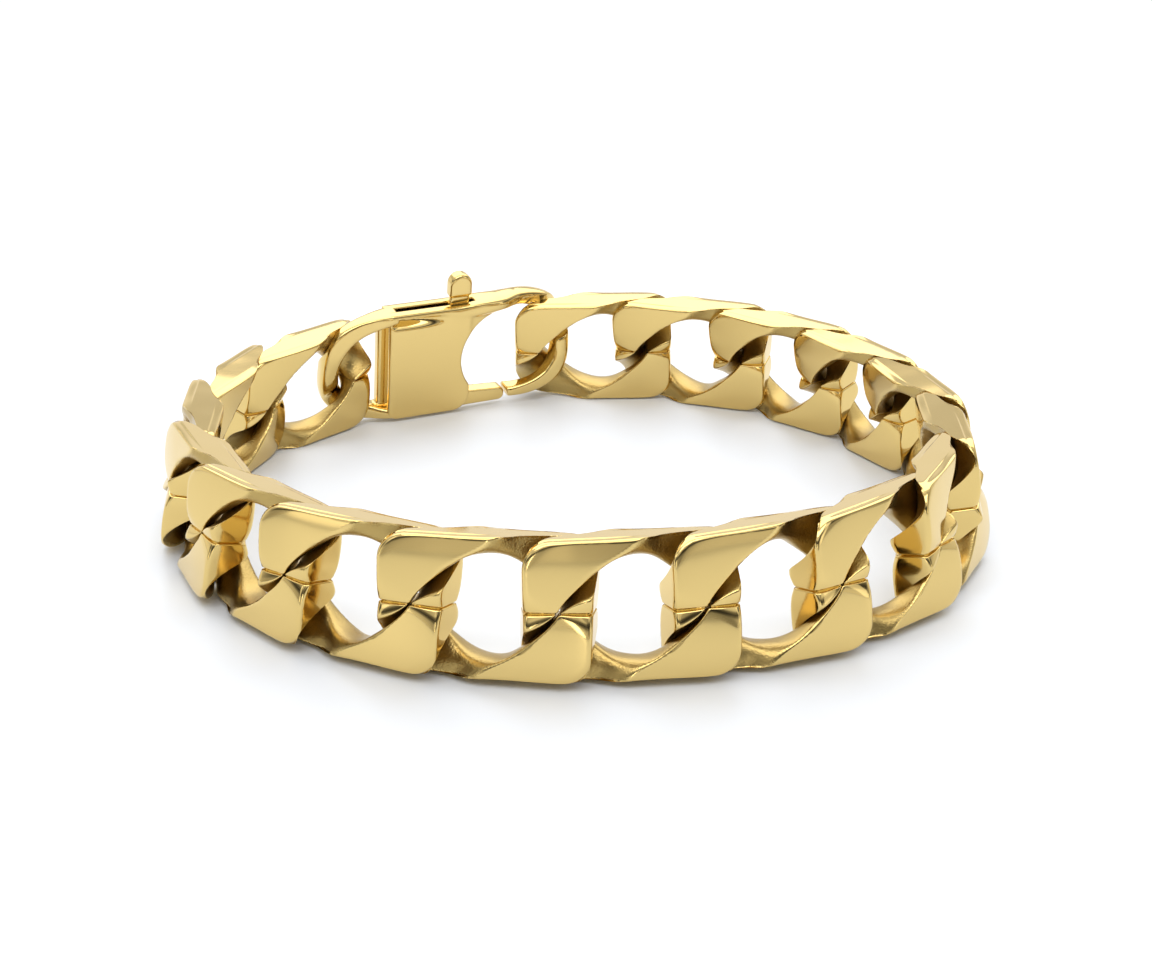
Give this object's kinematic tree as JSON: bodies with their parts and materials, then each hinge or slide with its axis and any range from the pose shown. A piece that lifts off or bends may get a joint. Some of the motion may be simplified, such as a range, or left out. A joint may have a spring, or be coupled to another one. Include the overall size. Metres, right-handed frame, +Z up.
{
  "type": "cuban link bracelet",
  "caption": "Flat-ground curb chain bracelet lying as a closed loop, fastened by a lobster clasp with a sprung lever, a hook and a D-shaped bail.",
  "frame": {"origin": "middle of the loop's box, on the surface that the bracelet lies on", "axes": "+Z up, -Y to the front, with the clasp at the back left, +X to the right"},
  "size_m": [0.0772, 0.0728, 0.0165],
  "materials": {
    "polished_gold": "polished gold plating on stainless steel"
  },
  "bodies": {
    "bracelet": {"link_01": "polished_gold", "link_02": "polished_gold", "link_03": "polished_gold", "link_04": "polished_gold", "link_05": "polished_gold", "link_06": "polished_gold", "link_07": "polished_gold", "link_08": "polished_gold", "link_09": "polished_gold", "link_10": "polished_gold", "link_11": "polished_gold", "link_12": "polished_gold", "link_13": "polished_gold", "link_14": "polished_gold", "link_15": "polished_gold", "link_16": "polished_gold", "link_17": "polished_gold", "clasp_body": "polished_gold", "clasp_pin": "polished_gold"},
    "lever": {"clasp_lever": "polished_gold"}
  },
  "joints": [
    {"name": "lever_swing", "type": "hinge", "parent": "bracelet", "child": "lever", "pos_m": [-0.01518, 0.02758, 0.00261], "axis": [0.4207, -0.8904, -0.1736], "range_deg": [0, 22], "stiffness_Nm_per_rad": 0.04, "springref_deg": -8.59}
  ]
}
